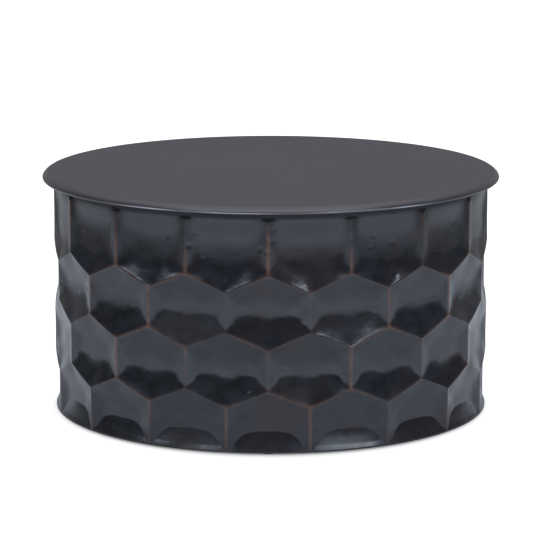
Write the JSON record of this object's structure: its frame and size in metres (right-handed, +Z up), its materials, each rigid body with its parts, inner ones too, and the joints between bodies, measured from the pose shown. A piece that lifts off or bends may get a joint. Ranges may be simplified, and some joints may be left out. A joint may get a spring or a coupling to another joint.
{
  "type": "storage coffee table",
  "caption": "Round drum coffee table with storage inside: embossed sheet-metal wall of hexagonal cells with rubbed ridges, under a plain overhanging lift-off lid with a rolled edge.",
  "frame": {"origin": "on the floor under the centre of the drum", "axes": "+Z up through the lid, -Y towards the front, where a ridge of the top row faces forward, +X to the right"},
  "size_m": [0.7619, 0.762, 0.4],
  "materials": {
    "antiqued_sheet": "semi-gloss black over copper, rubbed through along the ridges",
    "satin_black_sheet": "satin black paint",
    "black_steel": "matt black paint",
    "black_board": "board painted black",
    "screw_steel": "zinc plated",
    "foot_rubber": "matt",
    "bumper_felt": "pressed felt"
  },
  "bodies": {
    "drum": {"drum_wall": "antiqued_sheet", "rim_ring": "black_steel", "base_ring": "black_steel", "floor_panel": "black_board", "floor_screws": "screw_steel", "foot_pad_1": "foot_rubber", "foot_pad_2": "foot_rubber", "foot_pad_3": "foot_rubber", "foot_pad_4": "foot_rubber", "foot_pad_5": "foot_rubber", "foot_pad_6": "foot_rubber"},
    "lid": {"lid_top": "satin_black_sheet", "lid_core": "black_board", "locating_hoop": "black_steel", "lid_screws": "screw_steel", "hoop_tab_1": "black_steel", "hoop_tab_2": "black_steel", "hoop_tab_3": "black_steel", "hoop_tab_4": "black_steel", "hoop_tab_5": "black_steel", "hoop_tab_6": "black_steel", "rim_bumper_1": "bumper_felt", "rim_bumper_2": "bumper_felt", "rim_bumper_3": "bumper_felt", "rim_bumper_4": "bumper_felt", "rim_bumper_5": "bumper_felt", "rim_bumper_6": "bumper_felt"}
  },
  "joints": [
    {"name": "lid_lift", "type": "slide", "parent": "drum", "child": "lid", "axis": [0, 0, 1], "range_m": [0, 0.3]}
  ]
}
